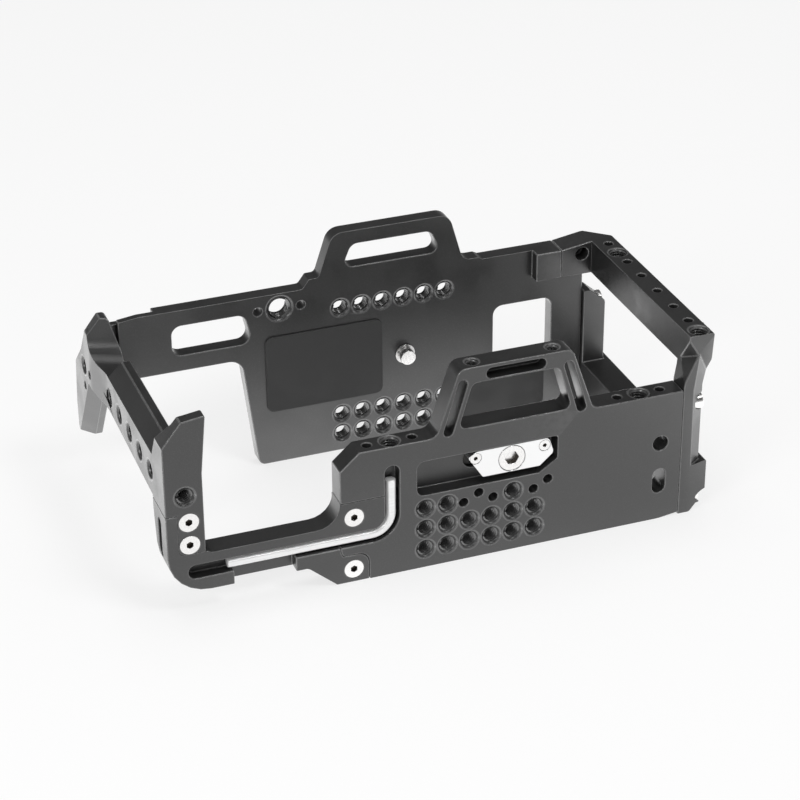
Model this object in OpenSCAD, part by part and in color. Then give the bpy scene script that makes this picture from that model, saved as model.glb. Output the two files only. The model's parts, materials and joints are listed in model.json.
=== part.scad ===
// Camera cage for a wide cinema camera, lying on its back with the lens opening upwards.
// X runs along the camera's width, from the grip side on the left to the port side on the right.
// Y runs from the camera's underside towards its top, and Z from its back towards its lens.
// Every outline is drawn from the first hole of the accessory grid, which is X = 0,
// from the outer face of the bottom plate, which is Y = 0, and from the back edge, which is Z = 0.

/* [Camera space] */
// Height of the camera body, from its underside to its top
camera_h = 85; // [82:0.5:90]
// Thickness of the rubber pads that the camera body rests against
pad_t = 0.75; // [0.5:0.05:1.5]
// First hole of the accessory grid to the right end of the plates
right_span = 106.9; // [104:0.1:114]
// First hole of the accessory grid to the outer face of the grip side
grip_span = 101.3; // [98:0.1:106]

/* [Plates] */
// Thickness of the bottom plate and of the grip corner
plate_t = 9.5; // [9:0.1:11]
// Thickness of the top plate
top_t = 6.5; // [6:0.1:8]
// Height of the bottom plate's shoulders above its back edge
shoulder_z = 56; // [54:0.5:60]
// Height of the top plate's edge above its back edge
top_edge_z = 77; // [75:0.5:80]
// Width of the fit line between two plates that meet
seam = 0.1; // [0.05:0.05:0.2]

/* [Guard arch] */
// Rise of the guard arch above the shoulders
arch_h = 27.2; // [25:0.2:30]
// Width of the guard arch at its foot
arch_foot_w = 62; // [60:0.5:66]
// Width of the guard arch at its crest
arch_crest_w = 45.8; // [42:0.2:48]
// Middle of the guard arch from the first grid hole
arch_mid_x = 36.5; // [35:0.5:38]
// Width of the guard arch's legs
arch_leg_w = 7.4; // [6.8:0.1:8]
// Width of the slots in the guard arch
arch_slot_w = 3.7; // [3:0.1:4]

/* [Threaded holes] */
// Radius of a quarter-inch threaded hole
quarter_r = 3.2; // [3.15:0.01:3.25]
// Radius of a three-eighth-inch threaded hole
three_eighth_r = 4.8; // [4.75:0.01:4.85]
// Radius of a hole for a locating pin
pin_r = 1.8; // [1.6:0.05:2]
// Distance from a threaded hole to its locating pins
pin_pitch = 9; // [8.5:0.1:10]
// Widening of a threaded hole's mouth
mouth = 0.9; // [0.5:0.05:1.1]
// Depth of a hole for a locating pin
pin_depth = 5; // [4:0.5:5.5]
// Spacing of the accessory grid
grid_pitch = 9; // [8.7:0.1:9.4]
// Columns of the accessory grid
grid_columns = 6; // [4:1:6]
// Height of the grid's lowest row
grid_z = 8.155; // [7:0.005:9]

/* [Sliding camera screw] */
// Length of the slide that carries the camera screw
slide_l = 35.5; // [33:0.5:37]
// Width of the slide
slide_w = 11.65; // [11.4:0.05:12.4]
// Thickness of the slide
slide_t = 5.4; // [5:0.1:5.8]
// How far the slide can move towards the grip
slide_travel = 14; // [10:0.5:14.5]
// Radius of the camera screw's head
camera_head_r = 5.35; // [5:0.05:5.4]
// Radius of the camera screw's thread
camera_thread_r = 3.175; // [3.1:0.005:3.25]
// Length of thread that enters the camera
camera_thread_l = 4.5; // [3:0.5:5.5]

/* [Hex key] */
// Width of the key across its flats
key_af = 4; // [3.6:0.1:4.2]
// Length of the key's long leg
key_long = 65; // [60:0.5:68]
// Length of the key's short leg
key_short = 22.3; // [20:0.1:24]
// Radius of the key's bend, along its middle
key_bend = 8; // [7:0.5:9]
// Clearance between the key and the walls of its channel
key_gap = 0.6; // [0.4:0.05:0.8]

/* [Grip side] */
// Height of the seam between the grip corner and the arm
arm_seam_z = 43.9; // [42:0.1:46]
// Thickness of the arm's strip
strip_t = 9.3; // [9:0.1:11]
// Height of the strip's ridge
ridge_z = 69; // [68:0.5:71]
// Spacing of the five holes along the strip
strip_pitch = 14.6; // [13.5:0.1:14.8]
// Height of the hole row along the strip
strip_hole_z = 54.3; // [53.5:0.1:55.5]
// Outward flare of the arm at its far end
arm_flare = 2.6; // [2:0.1:3.5]
// Thickness of the lug above the top plate
lug_t = 7.9; // [7:0.1:9]
// How far the lug stands above the top plate
lug_h = 22.3; // [20:0.1:26]

/* [Port side] */
// Width of the side frame
side_w = 12.8; // [12.4:0.1:14]
// Height of the side frame's upper rail above the back edge
rail_z = 79; // [77.5:0.5:82]
// Depth of the upper rail, from its top face down
rail_d = 14.3; // [12:0.1:16]
// Height of the lower rail
lower_rail_z = 21.3; // [19:0.1:24]
// Spacing of the small holes along the upper rail
rail_pitch = 14.6; // [13.8:0.1:15]

/* [Screws] */
// Radius of the M4 screws' shanks
m4_r = 2; // [1.9:0.05:2]
// Radius of the countersunk heads
flat_head_r = 3.9; // [3.7:0.05:3.9]
// Clearance round a screw
screw_gap = 0.05; // [0.02:0.01:0.1]

/* [Hidden] */
$fn = 64;

through = 1;                                   // How far a cutter runs past the face it opens
sliver = 0.01;                                 // Least step between a cutter and the face it meets
arc_steps = 6;
anodised = [0.13, 0.13, 0.135];
steel = [0.78, 0.78, 0.77];
rubber = [0.07, 0.07, 0.07];

// Faces of the two plates and of the two sides
top_inner_y = plate_t + camera_h + 2 * pad_t;
top_y = top_inner_y + top_t;
left_x = -grip_span;
far_left_x = left_x - arm_flare;
right_x = right_span + side_w;
lug_y = top_y + lug_h;

// The model stands with the middle of its box on the origin
mid_x = (far_left_x + right_x) / 2;
mid_y = lug_y / 2;

// Laps of the grip corner over the bottom plate
lap_y = plate_t / 2;
plate_left_x = -34.1;
tab_top_z = 35.1;
foot_right_x = -22.9;
foot_top_z = 12;
channel_w = key_af / cos(30) + 2 * key_gap;
channel_d = lap_y;
key_x = -13.3;
key_z = 18.7;
channel_top_z = 47.7;
key_back = key_af + 0.4;                       // The key's far flat, just off the channel's floor
channel_bend = key_bend;
corner_screw_upper = [-28.6, 28.4];
corner_screw_lower = [-29, 5.7];

// Grip corner
bar_bottom_z = 10;
bar_top_z = 25.9;
hook_r = 16;
hook_right_x = -76.1;
lip_left_x = -52;
post_right_x = left_x + 14.7;
tongue_left_x = left_x + 4.5;
tongue_bottom_z = 26.9;
wall_t = 8.3;
wall_y = 17.4;
strap_y = 7.3;
strap_w = 4.3;
strap_z0 = 22.5;
strap_z1 = 39.2;
arm_screw_x = left_x + 8.8;
arm_screw_z = [30.7, 40.4];

// Grip arm
arm_top_z = 83.8;
near_t = 5;
near_hole = [left_x + 7.75, 51.6];
strip_right_x = left_x + strip_t;
strip_low_near = arm_seam_z + 1.1;
strip_low_far = arm_seam_z + 5.5;
strip_chamfer = 5.8;
ridge_end_y = top_y - 25;
scoop_z = ridge_z - strip_chamfer + 0.3;
fin_y = top_y - 6.1;
fin_z = ridge_z + 10;
strip_hole_y = 19.4;
strip_holes = 5;
lug_hole = [top_y + 4.8, strip_hole_z];
lug_near_y = top_y - 7.5;
lug_low_z = 16.5;
lug_slant = 0.667;                             // The lug's near edge leans back by this much for each millimetre down
flange_t = 3.3;
flange_l = 15;
flange_z0 = 56;
flange_z1 = 74;
flange_screw_x = strip_right_x + 8;
flange_screw_z = [60.5, 69.5];

// Small holes round the accessory grid, and the openings by the right end
plate_hole_r = 1.85;
plate_holes = [[15.6, 25.4], [21.8, 28.5], [27.7, 25.3], [44.4, 25.35], [50.4, 28.5]];
end_hole = [right_span - 8.9, 34.3];
end_hole_r = 3.15;
end_slot_w = 5.35;
end_slot_z = [14.7, 20.1];
tap_depth = 7;                                 // Blind threaded holes in the shoulders
arch_tap = [16.3, 4.5];                        // M4 holes in the crest: place from the arch's middle, and depth

// Guard arch of the bottom plate
arch_top_z = shoulder_z + arch_h;
arch_foot_l = arch_mid_x - arch_foot_w / 2;
arch_foot_r = arch_mid_x + arch_foot_w / 2;
arch_crest_l = arch_mid_x - arch_crest_w / 2;
arch_crest_r = arch_mid_x + arch_crest_w / 2;
arch_lean = (arch_foot_w - arch_crest_w) / 2 / arch_h;
window_z0 = shoulder_z + 1.7;
window_z1 = arch_top_z - 6.9;
arch_pocket_w = 4.4;
arch_pocket_l = 19.6;
arch_pocket_z = window_z1 + 0.9 + arch_pocket_w / 2;

// Slide of the camera screw
screw_x = 35.5;
screw_z = 40.6;
slide_x0 = screw_x - slide_l / 2 - 0.4;
slide_x1 = slide_x0 + slide_l;
slide_top_z = 46.45;
slide_low_z = slide_top_z - slide_w;
slide_face_y = 0.5;
slide_back_y = slide_face_y + slide_t;
slide_gap = 0.3;
recess_y = slide_back_y + slide_gap;
recess_end = 6.6;                              // Room left between the slide and the recess's end
recess_x0 = slide_x0 - slide_travel - recess_end;
recess_x1 = slide_x1 + 1.3;
recess_z0 = 32;
recess_z1 = slide_top_z + slide_gap;
slot_z0 = screw_z - 4;
slot_z1 = screw_z + 3.6;
slide_screw_x = [screw_x - 14.9, screw_x + 13.5];
slide_screw_z = 43.4;
slide_screw_r = 1.25;
slide_screw_head_r = 2.3;
keeper_t = 1.2;
keeper_y = plate_t - 0.25 - keeper_t;
keeper_x0 = screw_x - 18.4;
keeper_x1 = screw_x + 17;
keeper_z0 = 35.2;
keeper_z1 = 46;
groove_y = keeper_y - slide_gap;
camera_head_h = 3;
camera_face_y = slide_face_y + 0.1;
camera_neck_r = 2.6;
clip_t = 0.5;
clip_r = 4.2;

// Top plate, whose arch stands over the middle of its grid
top_arch_mid_x = 22.2;
top_arch_h = 22.3;
top_foot_l = top_arch_mid_x - arch_foot_w / 2;
top_foot_r = top_arch_mid_x + arch_foot_w / 2;
top_crest_l = top_arch_mid_x - arch_crest_w / 2 - 2;
top_crest_r = top_arch_mid_x + arch_crest_w / 2 + 2;
top_step_h = 4;
top_low_left_x = plate_left_x - 2;
row_z = top_edge_z - 11;
three_eighth_x = -25.6;
three_eighth_z = top_edge_z - 6.7;
grip_window_x = [left_x + 31, left_x + 61];
screen_window_x = [right_span - 40, right_span - 14];
screen_window_z = [26, 54];

// Pads, which keep clear of the plates' edges and openings
pad_in = 4;
pad_z = [shoulder_z - 30, shoulder_z - pad_in];
top_pad_z = [grid_z + grid_pitch + 7, shoulder_z + 2];

// Screw through the top plate into the camera's top
top_screw_x = 27.7;
top_screw_z = 40;
top_head_r = 5.6;
top_head_h = 3;

// Countersunk screws
head_land = 0.25;                              // Straight rim of a countersunk head
head_sunk = 0.1;                               // The heads lie just under the face
flat_hex = 2.5;
socket_depth = 1.7;
plate_screw_l = plate_t - 1;
top_screw_l = top_t - 0.9;

// Screws of the port side
side_screw_z = [5.5, 48];
side_screw_l = 12;
side_head_r = 3.5;
side_head_h = 4;
side_head_in = 0.4;                            // The heads lie this far under the posts' outer face
side_hex = 3;

// Port side
post_in = 2.8;                                 // The posts lie back from the lower rail's outer face
post_right = right_x - post_in;
side_inner_x = right_span + seam;
post_top_z = shoulder_z + 1;
far_post_y = top_inner_y - 2;
side_seat_x = post_right - side_head_in - side_head_h;
foot_bevel = [7.4, 6.4];
rail_in = [1.5, 0.9];                          // The upper rail lies back from both faces
rail_left = right_span + rail_in[0];
rail_right = right_x - rail_in[1];
rail_bottom = rail_z - rail_d;
facet_x = right_span + 4.5;                    // Where the near post's long bevel starts on its front face
facet_slope = 0.72;
foot_slope = 0.26;
head_tip = [right_span + 5.7, rail_z - 8.7];   // Lowest point of the front face of the near post's head
head_top = [right_x - 1, rail_z - 1.1];
head_low_z = rail_z - 13;                      // Lowest point of the head's two bevels, on its back
tip_gap = 0.5;                                 // Between the tips of the head's two bevels
bevel_back_y = 3.2;                            // Depth of the head's bevel at its low end
block_d = 11.3;
block_w = 12;
rail_corner = 9;                               // Bevel of the upper rail's far corner
rail_hole_x = 7.1;
rail_hole_y = 4.3;
rail_row_y = 11.7;
rail_hole_r = 1.7;
rail_hole_depth = 6;
rail_tap_depth = 8;
far_hole_y = top_y - 24.5;
rail_end_y = far_hole_y - pin_pitch - 6.5;     // The rail's far end is drawn from here
block_hole_r = 2.8;
block_hole_depth = 6;

// Points of an outline whose corners are [x, z, radius], with the round corners as arcs
function unit(v) = v / norm(v);
function corner(a, p, b, r) =
    let (u = unit(a - p), v = unit(b - p), half = acos(u * v) / 2,
         c = p + unit(u + v) * r / sin(half), s = p + u * r / tan(half) - c, e = p + v * r / tan(half) - c,
         a0 = atan2(s[1], s[0]), turn = (atan2(e[1], e[0]) - a0 + 540) % 360 - 180)
    [for (i = [0:arc_steps]) c + r * [cos(a0 + turn * i / arc_steps), sin(a0 + turn * i / arc_steps)]];
function flat(p) = [p[0], p[1]];
function rounded(pts) = [
    for (i = [0:len(pts) - 1])
        let (n = len(pts), p = pts[i], a = pts[(i + n - 1) % n], b = pts[(i + 1) % n])
        each (len(p) < 3 || p[2] == 0 ? [flat(p)] : corner(flat(a), flat(p), flat(b), p[2]))];

// Everything is placed by one shift, so that the model's box stands on the origin
module placed() {
    translate([-mid_x, -mid_y, 0]) children();
}

// An X-Z outline as a slab from y0 to y1
module slab(y0, y1, pts) {
    translate([0, y1, 0]) rotate([90, 0, 0]) linear_extrude(y1 - y0) polygon(rounded(pts));
}

// A Y-Z outline as a slab from x0 to x1
module side_slab(x0, x1, pts) {
    translate([x0, 0, 0]) rotate([90, 0, 90]) linear_extrude(x1 - x0) polygon(rounded(pts));
}

// An X-Y outline as a slab from z0 to z1
module plan_slab(z0, z1, pts) {
    translate([0, 0, z0]) linear_extrude(z1 - z0) polygon(rounded(pts));
}

// Round cutters and pegs along each axis
module rod_y(x, z, r, y0, y1) {
    translate([x, y0, z]) rotate([-90, 0, 0]) cylinder(r = r, h = y1 - y0);
}
module rod_x(y, z, r, x0, x1) {
    translate([x0, y, z]) rotate([0, 90, 0]) cylinder(r = r, h = x1 - x0);
}
module rod_z(x, y, r, z0, z1) {
    translate([x, y, z0]) cylinder(r = r, h = z1 - z0);
}

// Round-ended slot between two X-Z points, cut from y0 to y1
module slot_y(a, b, w, y0, y1) {
    len_ab = norm(b - a);
    translate([a[0], y0, a[1]]) rotate([0, -atan2(b[1] - a[1], b[0] - a[0]), 0]) {
        translate([0, 0, -w / 2]) cube([len_ab, y1 - y0, w]);
        rotate([-90, 0, 0]) cylinder(d = w, h = y1 - y0);
        translate([len_ab, 0, 0]) rotate([-90, 0, 0]) cylinder(d = w, h = y1 - y0);
    }
}

// Threaded hole through a plate, with both mouths widened
module tapped_y(x, z, r, y0, y1) {
    rod_y(x, z, r, y0 - through, y1 + through);
    translate([x, y0, z]) rotate([-90, 0, 0]) cylinder(r1 = r + mouth, r2 = r, h = mouth);
    translate([x, y1, z]) rotate([90, 0, 0]) cylinder(r1 = r + mouth, r2 = r, h = mouth);
}
// The same from a face at height z, down to a depth
module tapped_z(x, y, r, z, depth) {
    rod_z(x, y, r, z - depth, z + through);
    translate([x, y, z - mouth]) cylinder(r1 = r, r2 = r + mouth, h = mouth);
}
// The same from a face at x0 into the piece, and out of its far face where the depth reaches it
module tapped_x(y, z, r, x0, depth) {
    rod_x(y, z, r, x0 - through, x0 + depth);
    translate([x0, y, z]) rotate([0, 90, 0]) cylinder(r1 = r + mouth, r2 = r, h = mouth);
}

// Countersunk screw along Y: head at y0, pointing to +Y
module flat_screw_y(x, z, y0, l) {
    head_h = flat_head_r - m4_r;
    difference() {
        translate([x, y0, z]) rotate([-90, 0, 0]) union() {
            cylinder(r = flat_head_r, h = head_land);
            translate([0, 0, head_land]) cylinder(r1 = flat_head_r, r2 = m4_r, h = head_h);
            cylinder(r = m4_r, h = l);
        }
        translate([x, y0 - through, z]) rotate([-90, 30, 0])
            cylinder(d = flat_hex / cos(30), h = socket_depth + through, $fn = 6);
    }
}
// The hole that such a screw lies in: free in the outer piece, threaded beyond it
module flat_screw_hole_y(x, z, y0, l) {
    head_h = flat_head_r - m4_r;
    g = screw_gap;
    translate([x, y0, z]) rotate([-90, 0, 0]) union() {
        translate([0, 0, -through]) cylinder(r = flat_head_r + g, h = head_land + through);
        translate([0, 0, head_land]) cylinder(r1 = flat_head_r + g, r2 = m4_r + g, h = head_h);
        cylinder(r = m4_r + g, h = l + 0.5);
    }
}

// Path of the key's channel, widened by a radius round the key
module channel(w, y0, y1) {
    bend_x = key_x - channel_bend;
    bend_z = key_z + channel_bend;
    end_x = -93.6 + w / 2;
    slot_y([key_x, bend_z], [key_x, channel_top_z - w / 2], w, y0, y1);
    slot_y([end_x, key_z], [bend_x, key_z], w, y0, y1);
    translate([bend_x, y0, bend_z]) rotate([-90, 0, 0]) rotate_extrude(angle = 90)
        translate([channel_bend - w / 2, 0]) square([w, y1 - y0]);
}

// ---------------------------------------------------------------- bottom plate

// Outline of the near layer's seam with the grip corner, grown by g
module corner_lap_cut(y0, y1, g) {
    slab(y0, y1, [[plate_left_x - 20, key_z], [key_x - channel_bend, key_z], [key_x, key_z + channel_bend],
        [key_x, tab_top_z + g], [plate_left_x - 20, tab_top_z + g]]);
    slab(y0, y1, [[plate_left_x - 20, -5], [foot_right_x + g, -5], [foot_right_x + g, foot_top_z + g, 4.5],
        [plate_left_x + 1, foot_top_z + g], [plate_left_x - g, foot_top_z + 2], [plate_left_x - g, key_z],
        [plate_left_x - 20, key_z]]);
}

module bottom_plate_body() {
    slab(0, plate_t, [[plate_left_x, 0], [plate_left_x, shoulder_z - 7], [plate_left_x + 7.9, shoulder_z, 1],
        [arch_foot_l - 1.2, shoulder_z, 4], [arch_crest_l, arch_top_z, 4], [arch_crest_r, arch_top_z, 4],
        [arch_foot_r + 1.2, shoulder_z, 3], [right_span, shoulder_z], [right_span, 1], [right_span - 7, 0]]);
}

// Each leg's slot follows the leg's lean
module arch_slots() {
    z0 = shoulder_z + 1.5;
    z1 = arch_top_z - 6.6;
    for (side = [-1, 1]) {
        low_x = arch_mid_x + side * (arch_foot_w / 2 - arch_lean * 1.5 - arch_leg_w * 0.45);
        high_x = arch_mid_x + side * (arch_foot_w / 2 - arch_lean * (z1 - shoulder_z) - arch_leg_w * 0.45);
        slot_y([low_x, z0], [high_x, z1], arch_slot_w, -through, plate_t + through);
    }
}

module arch_window() {
    slab(-through, plate_t + through, [
        [arch_foot_l + arch_lean * (window_z0 - shoulder_z) + arch_leg_w, window_z0, 2.5],
        [arch_foot_l + arch_lean * (window_z1 - shoulder_z) + arch_leg_w, window_z1, 3],
        [arch_foot_r - arch_lean * (window_z1 - shoulder_z) - arch_leg_w, window_z1, 3],
        [arch_foot_r - arch_lean * (window_z0 - shoulder_z) - arch_leg_w, window_z0, 2.5]]);
    // Pocket over the window, closed at the back
    slot_y([arch_mid_x - arch_pocket_l / 2, arch_pocket_z], [arch_mid_x + arch_pocket_l / 2, arch_pocket_z],
        arch_pocket_w, -through, plate_t * 0.6);
}

module grid_holes(y0, y1) {
    for (i = [0:grid_columns - 1], row = [0, 1])
        tapped_y(i * grid_pitch, grid_z + row * grid_pitch, quarter_r, y0, y1);
}

module bottom_plate() {
    color(anodised) placed() difference() {
        bottom_plate_body();
        arch_window();
        arch_slots();
        channel(channel_w, -through, channel_d);
        corner_lap_cut(-through, lap_y, seam);
        // Accessory grid
        grid_holes(0, plate_t);
        for (i = [0, 1, 4])
            tapped_y(i * grid_pitch, grid_z + 2 * grid_pitch, quarter_r, 0, plate_t);
        for (p = plate_holes)
            rod_y(p[0], p[1], plate_hole_r, -through, plate_t + through);
        // Openings by the right end
        rod_y(end_hole[0], end_hole[1], end_hole_r, -through, plate_t + through);
        slot_y([end_hole[0], end_slot_z[0]], [end_hole[0], end_slot_z[1]], end_slot_w, -through, plate_t + through);
        // Recess, slots and groove of the slide
        slab(-through, recess_y, [[recess_x0, recess_z0, 3], [recess_x0, recess_z1, 3], [recess_x1, recess_z1, 1],
            [recess_x1, recess_z0 + 5, 1], [recess_x1 - 7.6, recess_z0, 1]]);
        slot_y([screw_x - slide_travel, (slot_z0 + slot_z1) / 2], [screw_x, (slot_z0 + slot_z1) / 2],
            slot_z1 - slot_z0, -through, plate_t + through);
        slab(groove_y, plate_t + through, [[keeper_x0 - slide_travel - 1, keeper_z0 - 1], [keeper_x1 + 1, keeper_z0 - 1],
            [keeper_x1 + 1, keeper_z1 + 1], [keeper_x0 - slide_travel - 1, keeper_z1 + 1]]);
        // Holes in the shoulders and in the arch's crest
        for (x = [key_x + 0.6, right_span - 17.2]) {
            tapped_z(x, plate_t / 2, quarter_r, shoulder_z, tap_depth);
            for (s = [-1, 1])
                rod_z(x + s * pin_pitch, plate_t / 2, pin_r, shoulder_z - pin_depth, shoulder_z + through);
        }
        for (s = [-1, 1])
            tapped_z(arch_mid_x + s * arch_tap[0], plate_t / 2, m4_r, arch_top_z, arch_tap[1]);
        // Seats of the screws and magnets
        flat_screw_hole_y(corner_screw_upper[0], corner_screw_upper[1], head_sunk, plate_screw_l);
        flat_screw_hole_y(corner_screw_lower[0], corner_screw_lower[1], head_sunk, plate_screw_l);
        for (z = side_screw_z)
            rod_x(plate_t / 2, z, m4_r + screw_gap, right_span - side_screw_l, right_span + through);
        magnet_seats();
    }
}

// ---------------------------------------------------------------- grip corner

module grip_corner() {
    color(anodised) placed() difference() {
        union() {
            // Far layer, which ends at the bottom plate
            slab(lap_y - 0.01, plate_t, [[plate_left_x - seam, 0], [plate_left_x - 1.6, 0], [plate_left_x - 12.4, 9.4, 1],
                [plate_left_x - 13.5, bar_bottom_z], [left_x, bar_bottom_z, hook_r],
                [left_x, arm_seam_z], [post_right_x, arm_seam_z], [post_right_x, bar_top_z, 3],
                [plate_left_x - seam - 0.2, bar_top_z, 9.5], [plate_left_x - seam, tab_top_z + 1]]);
            // Near layer, with the tab and the foot that lap over the bottom plate
            slab(0, lap_y, [[foot_right_x, 0], [plate_left_x - 1.6, 0], [plate_left_x - 12.4, 9.4, 1],
                [plate_left_x - 13.5, bar_bottom_z], [left_x, bar_bottom_z, hook_r],
                [left_x, arm_seam_z], [post_right_x, arm_seam_z], [post_right_x, bar_top_z, 3],
                [plate_left_x - seam - 0.2, bar_top_z, 9.5], [plate_left_x - seam, tab_top_z + 1],
                [plate_left_x, tab_top_z], [key_x, tab_top_z], [key_x, key_z + channel_bend],
                [key_x - channel_bend, key_z], [plate_left_x - seam, key_z], [plate_left_x - seam, foot_top_z + 2],
                [plate_left_x + 1, foot_top_z], [foot_right_x, foot_top_z, 4.5]]);
            // Wall at the grip's end
            intersection() {
                slab(0, wall_y, [[left_x, bar_bottom_z, hook_r], [left_x, arm_seam_z],
                    [left_x + 2 * hook_r, arm_seam_z], [left_x + 2 * hook_r, bar_bottom_z]]);
                side_slab(left_x - through, left_x + wall_t, [[lap_y, bar_bottom_z - 1], [plate_t, bar_bottom_z - 1],
                    [plate_t + 3.5, 15.5, 3], [wall_y, 40], [wall_y, arm_seam_z], [lap_y, arm_seam_z]]);
            }
        }
        channel(channel_w, -through, channel_d);
        // The lip in front of the key is open between the hook and the foot
        slab(-through, lap_y, [[hook_right_x, -5, 0], [hook_right_x, key_z], [lip_left_x, key_z], [lip_left_x, -5, 0]]);
        // Pocket of the arm's tongue
        slab(-through, lap_y + 0.02, [[tongue_left_x - seam, tongue_bottom_z - seam, 2], [tongue_left_x - seam, arm_seam_z + through],
            [post_right_x + through, arm_seam_z + through], [post_right_x + through, tongue_bottom_z - seam]]);
        // Strap slot
        slot_x(strap_y, strap_z0, strap_w, strap_z1 - strap_z0, left_x - through, post_right_x + through);
        flat_screw_hole_y(corner_screw_upper[0], corner_screw_upper[1], head_sunk, plate_screw_l);
        flat_screw_hole_y(corner_screw_lower[0], corner_screw_lower[1], head_sunk, plate_screw_l);
        for (z = arm_screw_z)
            flat_screw_hole_y(arm_screw_x, z, head_sunk, plate_screw_l);
        magnet_seats();
    }
}

// Round-ended slot along X, upright in Z
module slot_x(y, z, w, h, x0, x1) {
    translate([x0, y, z + w / 2]) cube([x1 - x0, w, h - w]);
    rod_x(y + w / 2, z + w / 2, w / 2, x0, x1);
    rod_x(y + w / 2, z + h - w / 2, w / 2, x0, x1);
}

// ---------------------------------------------------------------- grip arm

module arm_near_plate() {
    slab(0, near_t, [[left_x, arm_seam_z + seam], [left_x, arm_top_z - 10.8], [left_x + 7.5, arm_top_z - 1.3, 3],
        [left_x + 16.9, arm_top_z, 0.8], [post_right_x, arm_top_z - 23.8, 8], [post_right_x, arm_seam_z + seam]]);
}

module arm_gusset() {
    intersection() {
        union() {
            side_slab(left_x, strip_right_x, [[0, arm_seam_z + seam], [wall_y - 0.1, arm_seam_z + seam],
                [wall_y - 0.1, arm_seam_z + 8], [14.7, scoop_z + 0.3, 2], [9.5, ridge_z + 3.9, 6],
                [near_t + 0.3, arm_top_z - 4], [near_t, arm_top_z], [0, arm_top_z]]);
            side_slab(strip_right_x - 0.5, post_right_x, [[0, arm_seam_z + seam], [11, arm_seam_z + seam], [11, arm_seam_z + 11],
                [near_t, arm_seam_z + 19], [0, arm_seam_z + 19]]);
        }
        slab(-through, wall_y + through, [[left_x, arm_seam_z + seam], [left_x, arm_top_z - 10.8], [left_x + 7.5, arm_top_z - 1.3],
            [left_x + 16.9, arm_top_z], [post_right_x, arm_top_z - 23.8], [post_right_x, arm_seam_z + seam]]);
    }
}

module arm_strip() {
    intersection() {
        slab(near_t - 1, ridge_end_y, [[left_x, arm_seam_z + seam], [left_x, ridge_z - strip_chamfer],
            [left_x + strip_chamfer, ridge_z], [strip_right_x, ridge_z], [strip_right_x, arm_seam_z + seam]]);
        side_slab(left_x - through, strip_right_x + through, [[0, arm_seam_z + seam], [wall_y - 0.1, arm_seam_z + seam],
            [wall_y - 0.1, strip_low_near], [top_y, strip_low_far], [top_y, arm_top_z], [0, arm_top_z]]);
    }
}

module arm_far_block() {
    intersection() {
        side_slab(far_left_x - through, strip_right_x + through, [[ridge_end_y - 1, strip_low_far - 1.5], [top_y, strip_low_far],
            [top_y, fin_z], [ridge_end_y, fin_z], [ridge_end_y, scoop_z - 1], [ridge_end_y - 1, scoop_z - 1]]);
        slab(0, top_y + through, [[far_left_x, strip_low_near], [far_left_x, fin_z - 7.2], [far_left_x + 5.4, fin_z],
            [strip_right_x - 3.4, fin_z, 2], [strip_right_x, scoop_z + 3, 4], [strip_right_x, strip_low_near]]);
        plan_slab(0, fin_z + through, [[left_x, ridge_end_y - 2], [left_x, ridge_end_y + 3, 20], [far_left_x, fin_y - 1, 20],
            [far_left_x, top_y], [strip_right_x, top_y], [strip_right_x, ridge_end_y - 2]]);
    }
}

// The scoop that a finger finds between the ridge and the fin
module arm_scoop() {
    lean = 24;
    translate([strip_right_x - 3.4, fin_y, 0]) rotate([0, 0, -lean]) translate([-30, 0, 0])
        side_slab(0, 50, [[-60, scoop_z], [-3, scoop_z, 9], [0, fin_z + 4], [-60, fin_z + 4]]);
}

module arm_lug() {
    difference() {
        side_slab(far_left_x, far_left_x + lug_t, [[lug_near_y, strip_low_far], [top_y - 1.5, strip_low_far + 2],
            [top_y - 1.5, fin_z - 5.6], [top_y + 7.8, lug_hole[1] + 6, 4], [lug_y - 3.2, lug_hole[1] - 4.6, 4],
            [lug_y, 29.4, 5], [lug_y - 0.2, lug_low_z, 2.5], [lug_near_y + lug_slant * (strip_low_far - lug_low_z), lug_low_z, 1.5]]);
        // Bevel between the lug's outer face and its near edge
        translate([far_left_x, lug_near_y, strip_low_far]) rotate([atan(lug_slant), 0, 0]) translate([0, 0, -50])
            linear_extrude(53) polygon([[-1, -1], [6, -1], [-1, 6]]);
    }
}

// Flange that laps over the end of the top plate
module arm_flange(x1) {
    slab(top_y - flange_t, top_y, [[strip_right_x - 4, flange_z0], [strip_right_x - 4, flange_z1],
        [x1, flange_z1, 3], [x1, flange_z0, 3]]);
}

module grip_arm() {
    color(anodised) placed() difference() {
        union() {
            arm_near_plate();
            arm_gusset();
            arm_strip();
            difference() {
                union() {
                    arm_far_block();
                    arm_lug();
                }
                intersection() {
                    arm_scoop();
                    translate([far_left_x - 5, ridge_end_y, 0]) cube([30, 40, 200]);
                }
            }
            // Tongue in the grip corner's pocket
            slab(0, lap_y - 0.05, [[tongue_left_x, tongue_bottom_z, 2], [tongue_left_x, arm_seam_z + 1],
                [post_right_x, arm_seam_z + 1], [post_right_x, tongue_bottom_z]]);
            arm_flange(strip_right_x + flange_l);
        }
        for (k = [0:strip_holes - 1])
            tapped_x(strip_hole_y + k * strip_pitch, strip_hole_z, quarter_r, left_x, strip_t + through);
        tapped_x(lug_hole[0], lug_hole[1], quarter_r, far_left_x, lug_t + through);
        rod_x(lug_hole[0] - pin_pitch, lug_hole[1], pin_r, far_left_x - through, far_left_x + pin_depth);
        rod_x(lug_hole[0], lug_hole[1] - pin_pitch, pin_r, far_left_x - through, far_left_x + pin_depth);
        rod_y(near_hole[0], near_hole[1], quarter_r, -through, 10);
        translate([near_hole[0], 0, near_hole[1]]) rotate([-90, 0, 0]) cylinder(r1 = quarter_r + mouth, r2 = quarter_r, h = mouth);
        for (z = arm_screw_z)
            flat_screw_hole_y(arm_screw_x, z, head_sunk, plate_screw_l);
        for (z = flange_screw_z)
            far_screw_hole(flange_screw_x, z);
    }
}

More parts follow.
